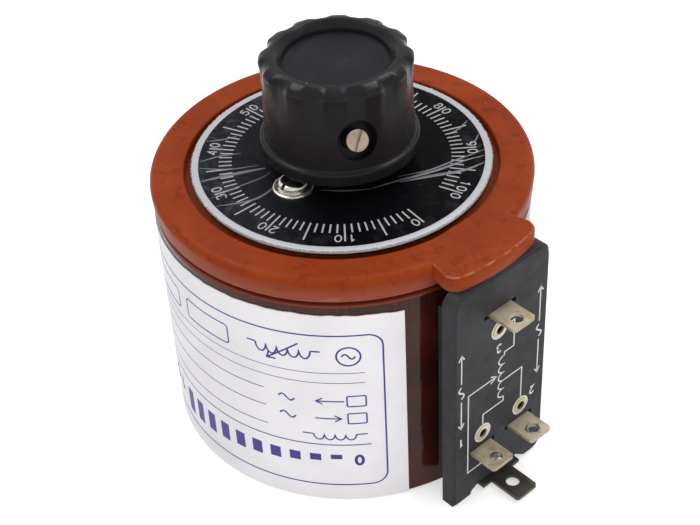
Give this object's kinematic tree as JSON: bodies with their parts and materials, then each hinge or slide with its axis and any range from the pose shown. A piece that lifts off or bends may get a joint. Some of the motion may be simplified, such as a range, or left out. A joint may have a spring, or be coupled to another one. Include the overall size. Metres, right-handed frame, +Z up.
{
  "type": "variable autotransformer",
  "caption": "round variable autotransformer with a toroidal winding, a moulded base with printed dial, a ribbed knob that turns a sprung brush, and a board with blade terminals",
  "frame": {"origin": "where the spindle's axis meets the surface that the part stands on", "axes": "+Z up the spindle towards the knob, +X out of the terminal board, +Y to the left of the board seen from the spindle"},
  "size_m": [0.0986, 0.0832, 0.0903],
  "materials": {
    "red_brown_phenolic": "satin moulding with a fine flow texture",
    "brown_varnished_wrap": "glossy varnish",
    "label_paper": "coated paper",
    "core_steel": "strip edges",
    "pressboard": "pressed fibre",
    "enamelled_wire": "enamelled copper wire, bare on the brush track",
    "cork_pad": "cork",
    "zinc_steel": "zinc plated",
    "bearing_bronze": "turned",
    "dial_black": "satin with a thin clear film",
    "nickel_plate": "nickel plated",
    "charcoal_moulding": "satin moulding",
    "tinned_brass": "dull tin plate",
    "eyelet_brass": "bare brass",
    "knob_black": "satin gloss moulding",
    "inlay_black": "satin disc",
    "carbon": "carbon graphite"
  },
  "bodies": {
    "stator": {"base_moulding": "red_brown_phenolic", "outer_wrap": "brown_varnished_wrap", "paper_label": "label_paper", "toroid_core": "core_steel", "core_end_caps": "pressboard", "winding": "enamelled_wire", "seating_pad": "cork_pad", "clamp_fibre_ring": "pressboard", "core_clamp": "zinc_steel", "clamp_screws": "zinc_steel", "upper_bush": "bearing_bronze", "lower_bush": "bearing_bronze", "stop_pin": "zinc_steel", "dial_inserts": "bearing_bronze", "dial_disc": "dial_black", "dial_cup_washers": "nickel_plate", "dial_screws": "nickel_plate", "terminal_board": "charcoal_moulding", "left_blade": "tinned_brass", "right_blade": "tinned_brass", "upper_blade": "tinned_brass", "takeoff_leaf": "tinned_brass", "eyelets": "eyelet_brass", "winding_leads": "enamelled_wire"},
    "rotor": {"spindle": "zinc_steel", "thrust_washer": "pressboard", "spindle_collar": "bearing_bronze", "control_knob": "knob_black", "knob_insert": "bearing_bronze", "knob_set_screw": "nickel_plate", "knob_inlay": "inlay_black", "brush_arm": "charcoal_moulding", "arm_set_screw": "zinc_steel", "collector_disc": "eyelet_brass", "brush_holder": "eyelet_brass", "brush_spring": "nickel_plate"},
    "brush": {"carbon_brush": "carbon"}
  },
  "joints": [
    {"name": "shaft_turn", "type": "hinge", "parent": "stator", "child": "rotor", "pos_m": [0, 0, 0.0637], "axis": [0, 0, -1], "range_deg": [-200.3, 135.1]},
    {"name": "brush_slide", "type": "slide", "parent": "rotor", "child": "brush", "axis": [0, 0, -1], "range_m": [0, 0.0015], "stiffness_N_per_m": 200, "springref_m": -0.006, "deforming": ["brush_spring"]}
  ]
}
